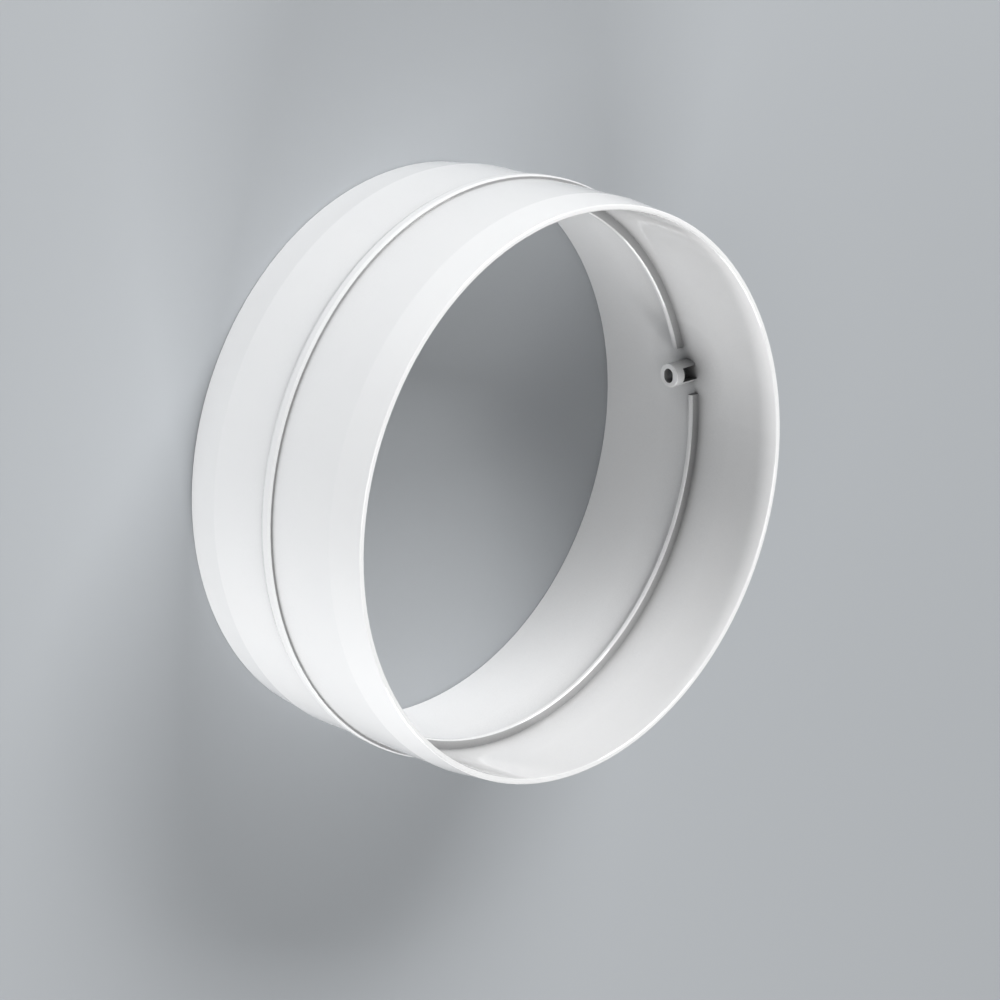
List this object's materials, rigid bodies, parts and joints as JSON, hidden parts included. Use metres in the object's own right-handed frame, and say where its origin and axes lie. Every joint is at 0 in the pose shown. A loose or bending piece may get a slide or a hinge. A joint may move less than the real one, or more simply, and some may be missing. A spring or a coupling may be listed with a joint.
{
  "type": "duct connector",
  "caption": "Round one-piece duct connector: two spigots either side of a stop bead, with a stepped flap seat and a pair of pin bearings inside.",
  "frame": {"origin": "centre of the lower end, on the ring's axis", "axes": "+Z along the ring's axis, away from the end it stands on; X along the flap's pin axis; +Y from the ring's centre towards the pin axis"},
  "size_m": [0.162, 0.162, 0.066],
  "materials": {
    "white_plastic": "moulded white plastic, glossy"
  },
  "bodies": {
    "root": {"connector_body": "white_plastic"}
  },
  "joints": []
}
